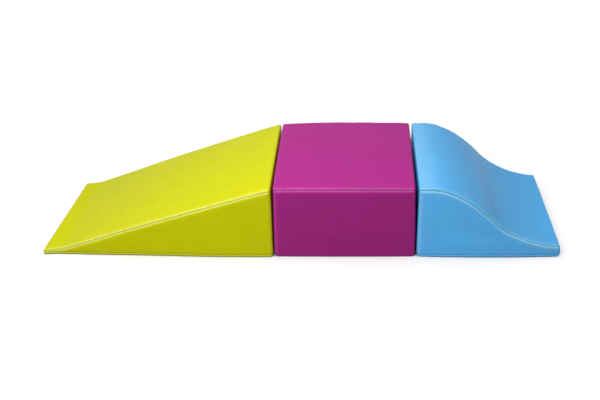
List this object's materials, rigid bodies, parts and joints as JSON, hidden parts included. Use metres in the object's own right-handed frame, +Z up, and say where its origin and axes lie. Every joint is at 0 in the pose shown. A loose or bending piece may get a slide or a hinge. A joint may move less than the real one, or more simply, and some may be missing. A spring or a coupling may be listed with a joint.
{
  "type": "foam play module set",
  "caption": "Soft foam play modules end to end: a wedge ramp, a block and a wave slide, each a foam core in a zipped leatherette cover.",
  "frame": {"origin": "on the floor, under the middle of the three modules as they stand end to end", "axes": "+X runs along the set from the wedge ramp's toe to the wave slide's tail, +Y points to the back, where the zips are, and +Z is up"},
  "size_m": [2.033, 0.6161, 0.3149],
  "materials": {
    "foam": "open-cell cut foam",
    "lime_leatherette": "fine-grained satin leatherette",
    "magenta_leatherette": "fine-grained satin leatherette",
    "blue_leatherette": "fine-grained satin leatherette",
    "zip_tape": "woven polyester tape",
    "zip_coil": "satin nylon coil",
    "zip_metal": "gunmetal lacquer on zinc"
  },
  "bodies": {
    "block": {"block_foam_core": "foam", "block_top_panel": "magenta_leatherette", "block_front_panel": "magenta_leatherette", "block_back_panel": "magenta_leatherette", "block_left_end_panel": "magenta_leatherette", "block_right_end_panel": "magenta_leatherette", "block_base_panel": "magenta_leatherette", "block_upper_zip_tape": "zip_tape", "block_lower_zip_tape": "zip_tape", "block_zip_coil": "zip_coil"},
    "wedge": {"wedge_foam_core": "foam", "wedge_top_panel": "lime_leatherette", "wedge_front_panel": "lime_leatherette", "wedge_back_panel": "lime_leatherette", "wedge_right_end_panel": "lime_leatherette", "wedge_base_panel": "lime_leatherette", "wedge_upper_zip_tape": "zip_tape", "wedge_lower_zip_tape": "zip_tape", "wedge_zip_coil": "zip_coil"},
    "wave": {"wave_foam_core": "foam", "wave_top_panel": "blue_leatherette", "wave_front_panel": "blue_leatherette", "wave_back_panel": "blue_leatherette", "wave_left_end_panel": "blue_leatherette", "wave_right_end_panel": "blue_leatherette", "wave_base_panel": "blue_leatherette", "wave_upper_zip_tape": "zip_tape", "wave_lower_zip_tape": "zip_tape", "wave_zip_coil": "zip_coil"},
    "block_slider": {"block_zip_slider": "zip_metal"},
    "block_pull_tab": {"block_zip_pull_tab": "zip_metal"},
    "wedge_slider": {"wedge_zip_slider": "zip_metal"},
    "wedge_pull_tab": {"wedge_zip_pull_tab": "zip_metal"},
    "wave_slider": {"wave_zip_slider": "zip_metal"},
    "wave_pull_tab": {"wave_zip_pull_tab": "zip_metal"}
  },
  "joints": [
    {"name": "wedge_pull_apart", "type": "slide", "parent": "block", "child": "wedge", "axis": [-1, 0, 0], "range_m": [0, 0.3]},
    {"name": "wave_pull_apart", "type": "slide", "parent": "block", "child": "wave", "axis": [1, 0, 0], "range_m": [0, 0.3]},
    {"name": "block_zip_run", "type": "slide", "parent": "block", "child": "block_slider", "axis": [1, 0, 0], "range_m": [-0.434, 0]},
    {"name": "block_tab_swing", "type": "hinge", "parent": "block_slider", "child": "block_pull_tab", "pos_m": [0.3865, 0.3061, 0.024], "axis": [0, 0, -1], "range_deg": [0, 175]},
    {"name": "wedge_zip_run", "type": "slide", "parent": "wedge", "child": "wedge_slider", "axis": [0.9997, 0.0254, 0], "range_m": [-0.62, 0]},
    {"name": "wedge_tab_swing", "type": "hinge", "parent": "wedge_slider", "child": "wedge_pull_tab", "pos_m": [-0.16958, 0.30462, 0.024], "axis": [0, 0, -1], "range_deg": [0, 175]},
    {"name": "wave_zip_run", "type": "slide", "parent": "wave", "child": "wave_slider", "axis": [1, 0, 0], "range_m": [-0.38, 0]},
    {"name": "wave_tab_swing", "type": "hinge", "parent": "wave_slider", "child": "wave_pull_tab", "pos_m": [0.89286, 0.3061, 0.024], "axis": [0, 0, -1], "range_deg": [0, 175]}
  ]
}
